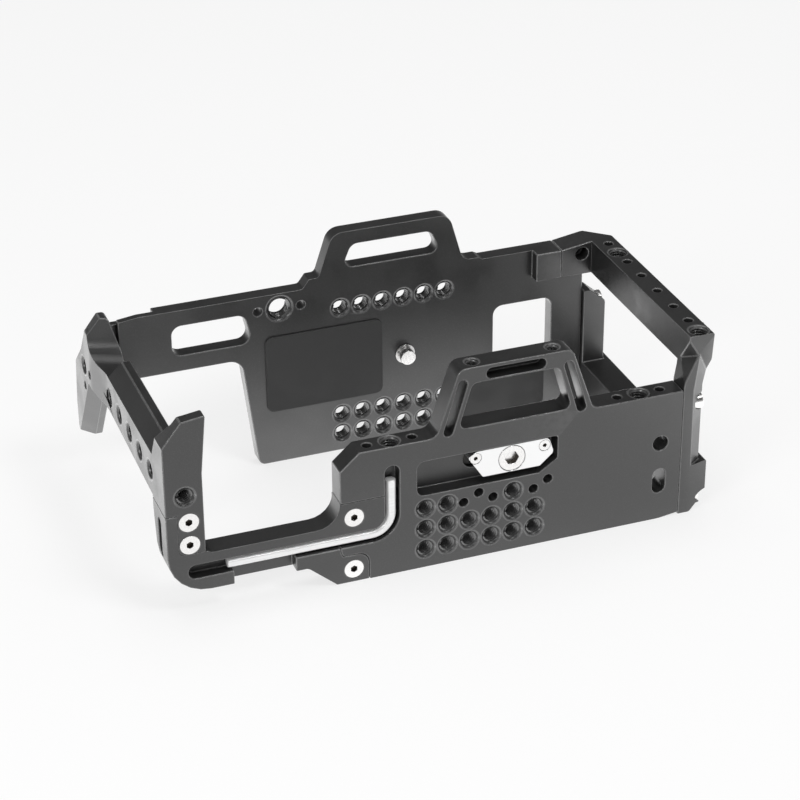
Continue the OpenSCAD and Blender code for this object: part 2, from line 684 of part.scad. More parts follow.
// Countersunk screws that come in from the top plate's outer face
module far_screw_hole(x, z) {
    translate([0, 2 * top_y, 0]) mirror([0, 1, 0]) flat_screw_hole_y(x, z, top_y + head_sunk, top_screw_l);
}

// ---------------------------------------------------------------- top plate

module top_plate_body() {
    left = strip_right_x + 0.3;
    slab(top_inner_y, top_y, [[left, flange_z0 - 6, 2], [left, top_edge_z - 1], [left + 8, top_edge_z, 2],
        [top_foot_l - 7, top_edge_z, 2], [top_foot_l - 4, top_edge_z + top_step_h, 1],
        [top_foot_l, top_edge_z + top_step_h, 2], [top_crest_l, top_edge_z + top_arch_h, 6],
        [top_crest_r, top_edge_z + top_arch_h, 6], [top_foot_r, top_edge_z + 1, 4], [top_foot_r + 6.5, top_edge_z + 1, 1],
        [top_foot_r + 8.5, top_edge_z, 1], [right_span - block_w, top_edge_z],
        [right_span - block_w, rail_z - rail_d - seam], [right_span - seam, rail_z - rail_d - seam],
        [right_span - seam, 0], [top_low_left_x, 0, 3], [top_low_left_x - 6, flange_z0 - 6, 6]]);
    // Thickened end beside the side frame's corner block
    slab(top_y - block_d, top_y, [[right_span - block_w - 11, rail_z - rail_d],
        [right_span - block_w - 11, top_edge_z], [right_span - block_w, top_edge_z],
        [right_span - block_w, rail_z - rail_d]]);
}

// Windows under the arch, over the grip's controls and over the camera's top screen
module top_windows() {
    y0 = top_inner_y - through;
    y1 = top_y + through;
    rim = 10;
    slab(y0, y1, [[top_foot_l + rim, top_edge_z + 6.5, 3], [top_crest_l + rim - 2, top_edge_z + top_arch_h - 6, 4],
        [top_crest_r - rim + 2, top_edge_z + top_arch_h - 6, 4], [top_foot_r - rim, top_edge_z + 6.5, 3]]);
    slab(y0, y1, [[grip_window_x[0], flange_z0 + 1, 4], [grip_window_x[0], top_edge_z - 7, 4],
        [grip_window_x[1], top_edge_z - 7, 4], [grip_window_x[1] + 3, flange_z0 + 1, 4]]);
    slab(y0, y1, [[screen_window_x[0], screen_window_z[0], 4], [screen_window_x[0], screen_window_z[1], 4],
        [screen_window_x[1], screen_window_z[1], 4], [screen_window_x[1], screen_window_z[0], 4]]);
}

module top_plate() {
    flange_end_x = strip_right_x + flange_l + seam;
    color(anodised) placed() difference() {
        top_plate_body();
        // Step that the arm's flange lies in
        slab(top_y - flange_t - seam, top_y + through, [[strip_right_x - 1, flange_z0 - 30],
            [strip_right_x - 1, top_edge_z + 6], [flange_end_x, top_edge_z + 6], [flange_end_x, flange_z0 - 30]]);
        top_windows();
        grid_holes(top_inner_y, top_y);
        for (i = [0:grid_columns - 1])
            tapped_y(i * grid_pitch, row_z, quarter_r, top_inner_y, top_y);
        tapped_y(three_eighth_x, three_eighth_z, three_eighth_r, top_inner_y, top_y);
        for (s = [-1, 1])
            rod_y(three_eighth_x + s * pin_pitch, three_eighth_z, pin_r, top_inner_y - through, top_y + through);
        // Seat of the screw into the camera's top
        rod_y(top_screw_x, top_screw_z, camera_thread_r + 0.08, top_inner_y - through, top_y + through);
        rod_y(top_screw_x, top_screw_z, top_head_r + 0.2, top_y - top_head_h - 0.3, top_y + through);
        for (z = flange_screw_z)
            far_screw_hole(flange_screw_x, z);
        for (z = side_screw_z)
            rod_x(top_y - top_t / 2, z, m4_r + screw_gap, right_span - side_screw_l, right_span + through);
    }
}

// ---------------------------------------------------------------- side frame

// X-Z outlines of the frame's two rails
lower_rail_outline = [[side_inner_x, 0], [side_inner_x, lower_rail_z], [right_x, lower_rail_z, 0.8],
    [right_x, foot_bevel[1]], [right_x - foot_bevel[0], 0, 1]];
upper_rail_outline = [[rail_left, rail_bottom], [rail_left, rail_z], [rail_right, rail_z, 0.8],
    [rail_right, rail_bottom, 0.8]];

// Near post with the near ends of both rails; it leans outwards at its head
module side_near_post() {
    color(anodised) placed() difference() {
        union() {
            slab(0, plate_t, lower_rail_outline);
            slab(0, plate_t, [[side_inner_x, post_in], [side_inner_x, post_top_z], [rail_left, rail_bottom + 1],
                [rail_left, rail_z], [rail_right, rail_z, 0.8], [right_x, rail_bottom + 1, 2],
                [post_right, shoulder_z - 1, 3], [post_right, post_in]]);
        }
        near_post_bevels();
        // The face that leans in from the head's front to the post's inner corner
        wedge([[right_span - tip_gap, -sliver, shoulder_z + 1], [head_tip[0], -sliver, head_tip[1]],
            [rail_left - 1.2, -sliver, rail_z], [rail_left - 1.2, plate_t, head_low_z]]);
        tapped_z(right_span + rail_hole_x, rail_hole_y, quarter_r, rail_z, rail_tap_depth);
        side_screw_seats(plate_t / 2);
    }
}

module side_lower_rail() {
    color(anodised) placed() slab(plate_t, far_post_y, lower_rail_outline);
}

// Far post with the far end of the lower rail
module side_far_post() {
    color(anodised) placed() difference() {
        union() {
            slab(far_post_y, top_y, lower_rail_outline);
            slab(far_post_y, top_y, [[side_inner_x, post_in], [side_inner_x, side_screw_z[1] + 7],
                [right_span + 3, side_screw_z[1] + 7, 1], [post_right, side_screw_z[1] + 1, 2], [post_right, post_in]]);
        }
        side_screw_seats(top_y - top_t / 2);
    }
}

module side_upper_rail() {
    color(anodised) placed() difference() {
        slab(plate_t, rail_end_y, upper_rail_outline);
        upper_rail_holes();
    }
}

// Far end of the upper rail, with the large hole and its two pin holes
module side_rail_end() {
    color(anodised) placed() difference() {
        slab(rail_end_y, top_y, upper_rail_outline);
        // Far corner
        plan_slab(rail_bottom - 2, rail_z + 2, [[right_span + 2, top_y + 3], [right_span + 2, top_y],
            [rail_right, top_y - rail_corner], [right_x + 2, top_y - rail_corner], [right_x + 2, top_y + 3]]);
        upper_rail_holes();
    }
}

// Block between the upper rail and the top plate, with a threaded hole in its inner face
module side_corner_block() {
    block_y = top_y - block_d;
    block_left = right_span - block_w + seam;
    color(anodised) placed() difference() {
        slab(block_y, top_y, [[block_left, rail_bottom], [block_left, top_edge_z], [right_span + 1, rail_z],
            [rail_left, rail_z], [rail_left, rail_bottom]]);
        rod_y(right_span - block_hole_r, rail_z - 5, block_hole_r, block_y - through, block_y + block_hole_depth);
    }
}

// Long bevel up the near post's outer corner, which turns into the head's bevel, and the shallow one below it
module near_post_bevels() {
    out_x = right_x + 2;
    out_y = (out_x - facet_x) * facet_slope;
    turn_z = shoulder_z - 1;
    front = [[facet_x, lower_rail_z], [facet_x, turn_z], head_tip + [tip_gap, 0], head_top, [out_x, rail_z - 1],
        [out_x, lower_rail_z]];
    polyhedron(points = concat([for (p = front) [p[0], 0, p[1]]], [for (p = front) [p[0], -through, p[1]]],
        [[out_x, out_y, lower_rail_z], [out_x, out_y, turn_z], [out_x, bevel_back_y, head_low_z]]), faces = [
        [6, 7, 8], [6, 8, 9], [6, 9, 10], [6, 10, 11],
        [0, 1, 7], [0, 7, 6], [1, 2, 8], [1, 8, 7], [2, 3, 9], [2, 9, 8], [3, 4, 10], [3, 10, 9],
        [4, 5, 11], [4, 11, 10], [5, 0, 6], [5, 6, 11],
        [0, 12, 13], [0, 13, 1], [1, 13, 2], [2, 13, 14], [2, 14, 3], [3, 14, 4], [5, 4, 14], [5, 14, 13], [5, 13, 12],
        [5, 12, 0]]);
    plan_slab(-through, lower_rail_z + sliver, [[facet_x, -through], [facet_x, 0], [out_x, (out_x - facet_x) * foot_slope],
        [out_x, -through]]);
}

module wedge(p) {
    polyhedron(points = p, faces = [[0, 2, 1], [0, 1, 3], [1, 2, 3], [2, 0, 3]]);
}

module upper_rail_holes() {
    x = right_span + rail_hole_x;
    rod_z(x, rail_hole_y + pin_pitch, pin_r, rail_z - pin_depth, rail_z + through);
    for (k = [1:3])
        rod_z(x, rail_row_y + k * rail_pitch, rail_hole_r, rail_z - rail_hole_depth, rail_z + through);
    tapped_z(x, far_hole_y, quarter_r, rail_z, rail_tap_depth);
    for (s = [-1, 1])
        rod_z(x, far_hole_y + s * pin_pitch, pin_r, rail_z - pin_depth, rail_z + through);
}

module side_screw_seats(y) {
    for (z = side_screw_z) {
        rod_x(y, z, m4_r + screw_gap, right_span - through, right_x + through);
        rod_x(y, z, side_head_r + 0.3, side_seat_x, right_x + 5);
    }
}

// ---------------------------------------------------------------- screws of the frame

module corner_screws() {
    color(steel) placed() {
        flat_screw_y(corner_screw_upper[0], corner_screw_upper[1], head_sunk, plate_screw_l);
        flat_screw_y(corner_screw_lower[0], corner_screw_lower[1], head_sunk, plate_screw_l);
    }
}

module arm_screws() {
    color(steel) placed() for (z = arm_screw_z)
        flat_screw_y(arm_screw_x, z, head_sunk, plate_screw_l);
}

module arm_top_screws() {
    color(steel) placed() for (z = flange_screw_z)
        translate([0, 2 * top_y, 0]) mirror([0, 1, 0]) flat_screw_y(flange_screw_x, z, top_y + head_sunk, top_screw_l);
}

// Socket-head screw along X, with its head at the outside
module side_screw(y, z) {
    difference() {
        union() {
            rod_x(y, z, side_head_r, side_seat_x, side_seat_x + side_head_h);
            rod_x(y, z, m4_r, right_span - side_screw_l + 0.5, side_seat_x + 0.1);
        }
        translate([side_seat_x + 2, y, z]) rotate([0, 90, 0]) cylinder(d = side_hex / cos(30), h = 3, $fn = 6);
    }
}

module side_bottom_screws() {
    color(steel) placed() for (z = side_screw_z)
        side_screw(plate_t / 2, z);
}

module side_top_screws() {
    color(steel) placed() for (z = side_screw_z)
        side_screw(top_y - top_t / 2, z);
}

// ---------------------------------------------------------------- sliding camera screw

module screw_plate() {
    color(steel) placed() difference() {
        slab(slide_face_y, slide_back_y, [[slide_x0, slide_top_z - 2.2, 1], [slide_x0 + 3.7, slide_top_z, 2],
            [slide_x1 - 2.2, slide_top_z, 2], [slide_x1, slide_low_z + 5, 2], [slide_x1 - 5.8, slide_low_z, 1],
            [slide_x0 + 6.2, slide_low_z, 1]]);
        rod_y(screw_x, screw_z, camera_head_r + 0.15, -through, camera_face_y + camera_head_h + 0.1);
        rod_y(screw_x, screw_z, camera_thread_r + 0.08, -through, slide_back_y + through);
        for (x = slide_screw_x) {
            rod_y(x, slide_screw_z, slide_screw_r + screw_gap, -through, slide_back_y + through);
            rod_y(x, slide_screw_z, slide_screw_head_r + 0.1, -through, slide_face_y + 1.6);
        }
    }
}

module screw_plate_screws() {
    color(steel) placed() for (x = slide_screw_x)
        difference() {
            union() {
                rod_y(x, slide_screw_z, slide_screw_head_r, slide_face_y + 0.1, slide_face_y + 1.55);
                rod_y(x, slide_screw_z, slide_screw_r, slide_face_y + 0.2, slide_back_y - 0.2);
            }
            translate([x, slide_face_y - 0.5, slide_screw_z]) rotate([-90, 0, 0]) cylinder(d = 1.5 / cos(30), h = 1.5, $fn = 6);
        }
}

module screw_plate_keeper() {
    color(steel) placed() difference() {
        slab(keeper_y, keeper_y + keeper_t, [[keeper_x0, keeper_z0, 2], [keeper_x0, keeper_z1, 2],
            [keeper_x1, keeper_z1, 2], [keeper_x1, keeper_z0, 2]]);
        rod_y(screw_x, screw_z, camera_thread_r + 0.3, 0, plate_t + through);
    }
}

// Captive screw along Y: head, thread and the neck that its clip sits in
module captive_screw(face_y, head_r, head_h, end_y, neck_y) {
    difference() {
        union() {
            rod_y(0, 0, head_r, face_y, face_y + head_h);
            rod_y(0, 0, camera_thread_r, face_y + head_h - 0.1, neck_y);
            rod_y(0, 0, camera_neck_r, neck_y - 0.1, neck_y + clip_t + 0.2);
            rod_y(0, 0, camera_thread_r, neck_y + clip_t + 0.1, end_y);
        }
        translate([0, face_y - through, 0]) rotate([-90, 0, 0]) cylinder(d = 5 / cos(30), h = 2.2 + through, $fn = 6);
    }
}

module clip(neck_y) {
    difference() {
        rod_y(0, 0, clip_r, neck_y + 0.05, neck_y + 0.05 + clip_t);
        rod_y(0, 0, camera_neck_r + 0.05, neck_y - 1, neck_y + clip_t + 1);
    }
}

camera_clip_y = keeper_y + keeper_t + 0.1;
module camera_screw() {
    color(steel) placed() translate([screw_x, 0, screw_z])
        captive_screw(camera_face_y, camera_head_r, camera_head_h, plate_t + camera_thread_l, camera_clip_y);
}
module camera_screw_ring() {
    color(steel) placed() translate([screw_x, 0, screw_z]) clip(camera_clip_y);
}

module top_screw_placed() {
    placed() translate([top_screw_x, 2 * top_y, top_screw_z]) mirror([0, 1, 0]) children();
}
top_clip_y = top_y + top_t + 0.1;
module top_camera_screw() {
    color(steel) top_screw_placed()
        captive_screw(top_y + 0.1, top_head_r, top_head_h, top_y + top_t + camera_thread_l, top_clip_y);
}
module top_screw_ring() {
    color(steel) top_screw_placed() clip(top_clip_y);
}

// ---------------------------------------------------------------- hex key, magnets and pads

module hex_section() {
    circle(d = key_af / cos(30), $fn = 6);
}

module hex_wrench() {
    bend_x = key_x - key_bend;
    bend_z = key_z + key_bend;
    color(steel) placed() translate([0, key_back - key_af / 2, 0]) union() {
        translate([key_x - key_long, 0, key_z]) rotate([0, 90, 0]) linear_extrude(key_long - key_bend) hex_section();
        translate([key_x, 0, bend_z]) linear_extrude(key_short - key_bend) hex_section();
        translate([bend_x, 0, bend_z]) rotate([90, 0, 0]) rotate([0, 0, -90]) rotate_extrude(angle = 90)
            translate([key_bend, 0]) hex_section();
    }
}

magnet_r = 2.5;
magnet_t = 2;
magnet_places = [[key_x, 36], [-70, key_z]];
module magnet_seats() {
    for (p = magnet_places)
        rod_y(p[0], p[1], magnet_r + 0.05, channel_d - 0.5, channel_d + magnet_t + 0.05);
}
module wrench_magnets() {
    color(steel) placed() for (p = magnet_places)
        rod_y(p[0], p[1], magnet_r, channel_d, channel_d + magnet_t);
}

// Thin pad with round corners, from the face at height y
module pad(y, x0, x1, z0, z1) {
    slab(y, y + pad_t, [[x0, z0, 3], [x0, z1, 3], [x1, z1, 3], [x1, z0, 3]]);
}

module bottom_pads() {
    color(rubber) placed() {
        pad(plate_t, plate_left_x + pad_in, recess_x0 - pad_in, pad_z[0], pad_z[1]);
        pad(plate_t, recess_x1 + pad_in, end_hole[0] - 2 * pad_in, pad_in, pad_z[1]);
    }
}

module top_pads() {
    color(rubber) placed() {
        pad(top_inner_y - pad_t, top_low_left_x + pad_in, top_screw_x - 10, top_pad_z[0], top_pad_z[1]);
        pad(top_inner_y - pad_t, grid_columns * grid_pitch - pad_in, end_hole[0] - 2 * pad_in, pad_in,
            screen_window_z[0] - pad_in);
    }
}

bottom_plate();
grip_corner();
grip_arm();
top_plate();
side_near_post();
side_far_post();
side_lower_rail();
side_upper_rail();
side_rail_end();
side_corner_block();
corner_screws();
arm_screws();
side_bottom_screws();
side_top_screws();
arm_top_screws();
screw_plate();
screw_plate_screws();
screw_plate_keeper();
camera_screw();
camera_screw_ring();
top_camera_screw();
top_screw_ring();
hex_wrench();
wrench_magnets();
bottom_pads();
top_pads();
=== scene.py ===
# %% [markdown]
# # A machined camera cage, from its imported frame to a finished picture
# The cage is a set of aluminium plates that close round a camera. Each piece was cut on a mill, blasted
# with fine beads, anodised black and then screwed to the next one. The frame brings every piece at its
# true size and place. This script gives the pieces what a drawing leaves out: broken edges, threads,
# the grain of the blasting, and the way each metal answers the light.

# %% Load the frame
import json
import math

import bmesh
import bpy
import numpy as np
from mathutils import Matrix, Quaternion, Vector
from mathutils.bvhtree import BVHTree
from mathutils.geometry import delaunay_2d_cdt

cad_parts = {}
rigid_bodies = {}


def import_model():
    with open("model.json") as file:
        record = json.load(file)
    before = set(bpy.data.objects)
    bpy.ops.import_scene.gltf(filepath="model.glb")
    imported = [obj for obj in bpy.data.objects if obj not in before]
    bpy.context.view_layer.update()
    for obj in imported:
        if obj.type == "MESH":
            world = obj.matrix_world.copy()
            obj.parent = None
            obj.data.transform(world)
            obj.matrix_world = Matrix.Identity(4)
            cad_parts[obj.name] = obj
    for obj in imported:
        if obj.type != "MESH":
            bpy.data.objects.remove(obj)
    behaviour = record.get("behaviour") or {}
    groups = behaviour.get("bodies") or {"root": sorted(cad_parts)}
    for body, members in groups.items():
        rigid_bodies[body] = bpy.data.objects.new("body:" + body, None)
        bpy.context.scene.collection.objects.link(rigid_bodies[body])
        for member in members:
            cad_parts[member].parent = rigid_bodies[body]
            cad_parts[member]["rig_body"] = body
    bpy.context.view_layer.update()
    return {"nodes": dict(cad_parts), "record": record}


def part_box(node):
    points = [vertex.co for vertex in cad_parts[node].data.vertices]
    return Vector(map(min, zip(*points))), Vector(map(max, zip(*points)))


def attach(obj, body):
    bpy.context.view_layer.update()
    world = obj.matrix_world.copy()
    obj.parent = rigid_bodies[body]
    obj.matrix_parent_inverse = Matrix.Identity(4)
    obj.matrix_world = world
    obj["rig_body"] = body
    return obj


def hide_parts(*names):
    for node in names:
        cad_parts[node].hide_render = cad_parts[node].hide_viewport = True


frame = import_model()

nodes = frame["nodes"]
MM = 0.001

# %% [markdown]
# ## Where things are
# The drawing counts from the first hole of the accessory grid, the outer face of the bottom plate and
# the surface that the cage lies on. One function turns such a place, in millimetres, into Blender's
# metres. The bottom plate's own box says where its outer face is and how thick it is, so nothing has
# to be measured twice.

# %% Places
plate_low, plate_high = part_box("bottom_plate")
PLATE_LEFT = -34.1
FIRST_HOLE_X = plate_low.x / MM - PLATE_LEFT
PLATE_T = (plate_high.y - plate_low.y) / MM
TOP_T = (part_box("top_plate")[1].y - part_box("top_pads")[1].y) / MM


def place(x, y, z):
    """A place in the drawing's millimetres, as a point in metres."""
    return Vector(((FIRST_HOLE_X + x) * MM, plate_low.y + y * MM, z * MM))


print(f"bottom plate {PLATE_T:.2f} mm thick, top plate {TOP_T:.2f} mm")

# %% [markdown]
# ## The camera first
# A product picture like this is taken with a long lens from a little above, looking at the bottom
# plate. The place and the angles are the only numbers that the composition needs, so they come first
# and stay fixed while the materials change around them.

# %% Camera
EYE = place(-290.115, -758.225, 524.635)
YAW, PITCH, ROLL = math.radians(20.274), math.radians(29.070), math.radians(-0.407)
SENSOR = 36.0
LENS = 112.97


def camera_axes(yaw, pitch, roll):
    """Right, up and backward of a camera that looks along yaw and down by pitch."""
    look = Vector((math.sin(yaw) * math.cos(pitch), math.cos(yaw) * math.cos(pitch), -math.sin(pitch)))
    right = Vector((math.cos(yaw), -math.sin(yaw), 0))
    up = right.cross(look)
    return (right * math.cos(roll) + up * math.sin(roll), up * math.cos(roll) - right * math.sin(roll), -look)


camera_data = bpy.data.cameras.new("camera")
camera_data.lens = LENS
camera_data.sensor_width = SENSOR
camera_data.clip_start = 0.05
camera_data.clip_end = 50
camera = bpy.data.objects.new("camera", camera_data)
camera.matrix_world = Matrix.Translation(EYE) @ Matrix(camera_axes(YAW, PITCH, ROLL)).transposed().to_4x4()
bpy.context.scene.collection.objects.link(camera)
bpy.context.scene.camera = camera
print("camera looks from", [round(v, 3) for v in EYE])

# %% [markdown]
# ## Small tools for materials
# A material here is a short list of nodes. These helpers make a node, set its inputs and join it, so
# that each material below reads as what it is made of. A value that is the same all over a surface is
# always set on the shader's own socket.

# %% Helpers for nodes


def add(tree, kind, inputs=None, **settings):
    """A node of that kind, with its settings and inputs. An input may be a value or another socket."""
    node = tree.nodes.new(kind)
    for name, value in settings.items():
        setattr(node, name, value)
    for name, value in (inputs or {}).items():
        if isinstance(value, bpy.types.NodeSocket):
            tree.links.new(value, node.inputs[name])
        else:
            node.inputs[name].default_value = value
    return node


def maths(tree, operation, a, b):
    """One step of arithmetic on two values or sockets."""
    return add(tree, "ShaderNodeMath", {0: a, 1: b}, operation=operation).outputs[0]


def ramp(tree, value, low, high, out_low=0.0, out_high=1.0):
    """Takes a value's range from low to high into another range, with soft ends."""
    inputs = {"Value": value, "From Min": low, "From Max": high, "To Min": out_low, "To Max": out_high}
    return add(tree, "ShaderNodeMapRange", inputs, interpolation_type="SMOOTHSTEP").outputs["Result"]


def mix(tree, factor, a, b):
    """Mixes two colours. The node keeps its colour sockets behind those for values and vectors."""
    return add(tree, "ShaderNodeMix", {0: factor, 6: a, 7: b}, data_type="RGBA").outputs[2]


def noise(tree, where, scale, detail, roughness=0.5):
    """A noise value from 0 to 1 at each place."""
    inputs = {"Vector": where, "Scale": scale, "Detail": detail, "Roughness": roughness}
    return add(tree, "ShaderNodeTexNoise", inputs).outputs["Fac"]


def grey(value, warm=0.0):
    """A grey as a colour, slightly warm where warm is above 0."""
    return (value * (1 + warm), value, value * (1 - warm), 1)


def group(name, inputs, outputs):
    """An empty shader node group, with its sockets, and its two end nodes."""
    tree = bpy.data.node_groups.new(name, "ShaderNodeTree")
    for label, kind, value in inputs:
        tree.interface.new_socket(label, in_out="INPUT", socket_type=kind).default_value = value
    for label, kind in outputs:
        tree.interface.new_socket(label, in_out="OUTPUT", socket_type=kind)
    return tree, tree.nodes.new("NodeGroupInput").outputs, tree.nodes.new("NodeGroupOutput").inputs


def place_group(tree, made, **values):
    """A group inside a material, with this material's own values."""
    node = tree.nodes.new("ShaderNodeGroup")
    node.node_tree = made
    for name, value in values.items():
        node.inputs[name.replace("_", " ")].default_value = value
    return node.outputs


def material(name):
    """A new material with its node tree and its Principled shader."""
    made = bpy.data.materials.new(name)
    made.use_nodes = True
    return made, made.node_tree, made.node_tree.nodes["Principled BSDF"]


def bumped(tree, shader, height, strength, distance):
    """Gives a shader the small relief of a height value."""
    node = add(tree, "ShaderNodeBump", {"Strength": strength, "Distance": distance, "Height": height})
    tree.links.new(node.outputs["Normal"], shader.inputs["Normal"])


print("node helpers ready")

# %% [markdown]
# ## Bead blasting
# Fine glass beads leave thousands of tiny dents a tenth of a millimetre across. On a dark part they
# read as a soft, dry sparkle. A high-frequency noise gives the dents, and a slower one the faint
# clouds where the blasting was a little heavier. The group puts out a height for a Bump node, a mask
# of the clouds that can change roughness and colour, and a mask of single specks.

# %% Bead blast group
GRAIN = 6500.0
CLOUD = 55.0
SPECK_SPACING = 0.4


def make_bead_blast():
    """Group: the height of the blasted grain, the slow clouds in it, and its bright specks."""
    value = "NodeSocketFloat"
    tree, ins, outs = group("bead_blast", [("Grain", value, GRAIN), ("Cloud", value, CLOUD)],
                            [("Height", value), ("Clouds", value), ("Specks", value)])
    where = add(tree, "ShaderNodeNewGeometry").outputs["Position"]
    tree.links.new(noise(tree, where, ins["Grain"], 2.0, 0.6), outs["Height"])
    slow = noise(tree, where, ins["Cloud"], 4.0, 0.55)
    tree.links.new(ramp(tree, slow, 0.35, 0.65), outs["Clouds"])
    coarse = noise(tree, where, maths(tree, "MULTIPLY", ins["Grain"], SPECK_SPACING), 1.0)
    tree.links.new(ramp(tree, coarse, 0.55, 0.72), outs["Specks"])
    return tree


bead_blast = make_bead_blast()
print("group", bead_blast.name)

# %% [markdown]
# ## Edges
# Every cut edge of an anodised part is broken by a fine chamfer or a tumble in stones, so an edge is
# never a hard line: it is a narrow facet that catches the light. A second effect is painted on the same
# edges: a lighter colour there, partly a painted highlight along the edge and partly the lighter dye
# and hand polish of wear. Pointiness tells where the surface turns sharply outwards, and a noise breaks
# the band up, so that the mask looks handled and not drawn.

# %% Edge tone group
# Scale of the noise that breaks up the painted edge highlight and the wear.
EDGE_SPOT_SCALE = 420.0


def make_edge_wear_highlight():
    """Group: a mask that is 1 on outward edges, broken up by a fine noise: a painted highlight there, with
    edge wear.
    """
    value = "NodeSocketFloat"
    tree, ins, outs = group("edge_wear_highlight", [("Amount", value, 0.5)], [("Mask", value)])
    geometry = add(tree, "ShaderNodeNewGeometry")
    outward = ramp(tree, geometry.outputs["Pointiness"], 0.52, 0.62)
    spots = noise(tree, geometry.outputs["Position"], EDGE_SPOT_SCALE, 3.0)
    broken = maths(tree, "MULTIPLY", outward, ramp(tree, spots, 0.30, 0.60, 0.35, 1.0))
    tree.links.new(maths(tree, "MULTIPLY", broken, ins["Amount"]), outs["Mask"])
    return tree


edge_wear_highlight = make_edge_wear_highlight()
print("group", edge_wear_highlight.name)

# %% [markdown]
# ## Black anodising
# Anodising grows a clear glassy oxide on the aluminium and fills it with dye. What the eye meets is
# the oxide, so the finish behaves like a dark plastic with a broad soft gloss and not like bare metal:
# Metallic stays at 0, the base colour is a near black, and the gloss gets strong at grazing angles by
# itself. The oxide bends light more than a plastic does, so the IOR is that of alumina. The blasting
# gives the roughness, a fine bump, and specks where single beads hit hard. The broken edges get a paler
# rim material, a painted highlight on top of the thin dye there, and a cut thread is never blasted, so
# the threads are glossier.

# %% Anodised material
OXIDE_IOR = 1.74
THREAD_IOR = 2.1
RIM_HIGHLIGHT_TONE = 0.085


def make_anodised(name, tone=0.015, roughness=0.38, bump=0.30, ior=OXIDE_IOR):
    """Dyed, bead-blasted aluminium."""
    made, tree, shader = material(name)
    shader.inputs["IOR"].default_value = ior
    blast = place_group(tree, bead_blast)
    edges = place_group(tree, edge_wear_highlight, Amount=0.55)
    body = mix(tree, blast["Clouds"], grey(tone * 0.88), grey(tone * 1.14))
    specked = mix(tree, blast["Specks"], body, grey(tone * 1.9))
    # The edge mask lightens the colour: a painted highlight along the edges, together with edge wear.
    tree.links.new(mix(tree, edges["Mask"], specked, grey(tone * 4.0)), shader.inputs["Base Color"])
    rough = ramp(tree, blast["Clouds"], 0.0, 1.0, roughness - 0.03, roughness + 0.04)
    worn = maths(tree, "SUBTRACT", rough, maths(tree, "MULTIPLY", edges["Mask"], 0.08))
    tree.links.new(worn, shader.inputs["Roughness"])
    bumped(tree, shader, blast["Height"], bump, 0.03 * MM)
    return made


anodised = make_anodised("black_anodised")
# The rim material is painted paler: a painted highlight on the bevel facets, on top of thin dye.
rim_painted_highlight = make_anodised("black_anodised_painted_highlight_rim", tone=RIM_HIGHLIGHT_TONE, roughness=0.30, bump=0.10)
# The thread's tone is twice that of the anodising: a painted brightening so its flanks read lighter, besides
# its higher gloss.
thread_black = make_anodised("black_cut_thread", tone=0.030, roughness=0.22, bump=0.05, ior=THREAD_IOR)
print("materials", anodised.name, rim_painted_highlight.name, thread_black.name)

# %% [markdown]
# ## Bright metals
# The screws are nickel plated and the slide is aluminium in its natural silver, so Metallic is 1. The
# key is drawn bar with a satin plating: its fine pits scatter the light, so that it looks white from
# every side, and only a part of it behaves as a mirror. What also tells them apart is the grain: tiny
# random scratches on the plated steel, lines along the key, and the dry blasted look on the slide.

# %% Scratch group
SCRATCH_SCALE = 1500.0
# The pale grey that edges of bright metals take: a painted highlight, together with rubbing.
EDGE_RUB_HIGHLIGHT = grey(0.95)


def make_scratches():
    """Group: a height and a mask of fine scratches, stretched along one axis by Stretch."""
    value = "NodeSocketFloat"
    tree, ins, outs = group("fine_scratches", [("Stretch", "NodeSocketVector", (1.0, 1.0, 1.0)),
                            ("Scale", value, SCRATCH_SCALE)], [("Height", value), ("Mask", value)])
    where = add(tree, "ShaderNodeNewGeometry").outputs["Position"]
    scaled = add(tree, "ShaderNodeVectorMath", {0: where, 1: ins["Stretch"]}, operation="MULTIPLY").outputs[0]
    lines = noise(tree, scaled, ins["Scale"], 5.0, 0.7)
    tree.links.new(lines, outs["Height"])
    tree.links.new(ramp(tree, lines, 0.40, 0.62), outs["Mask"])
    return tree


fine_scratches = make_scratches()


def make_bright(name, colour, roughness, stretch=(1, 1, 1), bump=0.05, metallic=1.0):
    """Bright metal with fine scratches that can run along one axis."""
    made, tree, shader = material(name)
    shader.inputs["Metallic"].default_value = metallic
    marks = place_group(tree, fine_scratches, Stretch=stretch)
    edges = place_group(tree, edge_wear_highlight, Amount=0.4)
    body = mix(tree, marks["Mask"], tuple(c * 0.93 for c in colour[:3]) + (1,), colour)
    # Edges go pale: a painted highlight, together with rubbing.
    tree.links.new(mix(tree, edges["Mask"], body, EDGE_RUB_HIGHLIGHT), shader.inputs["Base Color"])
    rough = ramp(tree, marks["Mask"], 0.0, 1.0, roughness + 0.06, roughness - 0.03)
    tree.links.new(rough, shader.inputs["Roughness"])
    bumped(tree, shader, marks["Height"], bump, 0.02 * MM)
    return made


def make_silver(name, tone=0.86, roughness=0.36):
    """Aluminium in its natural silver, blasted."""
    made, tree, shader = material(name)
    shader.inputs["Metallic"].default_value = 1.0
    blast = place_group(tree, bead_blast, Grain=5200.0)
    edges = place_group(tree, edge_wear_highlight, Amount=0.6)
    body = mix(tree, blast["Clouds"], grey(tone * 0.97), grey(tone))
    # Edges go pale: a painted highlight, together with rubbing.
    tree.links.new(mix(tree, edges["Mask"], body, EDGE_RUB_HIGHLIGHT), shader.inputs["Base Color"])
    rough = ramp(tree, blast["Clouds"], 0.0, 1.0, roughness - 0.02, roughness + 0.03)
    tree.links.new(rough, shader.inputs["Roughness"])
    bumped(tree, shader, blast["Height"], 0.2, 0.02 * MM)
    return made


nickel = make_bright("nickel_plated_steel", grey(0.82, 0.01), 0.24)
key_steel = make_bright("satin_key_steel", grey(0.92), 0.40, stretch=(0.05, 1, 1), bump=0.03,
                        metallic=0.35)
spring_steel = make_bright("stamped_stainless", grey(0.62, 0.01), 0.34, stretch=(0.2, 1, 1))
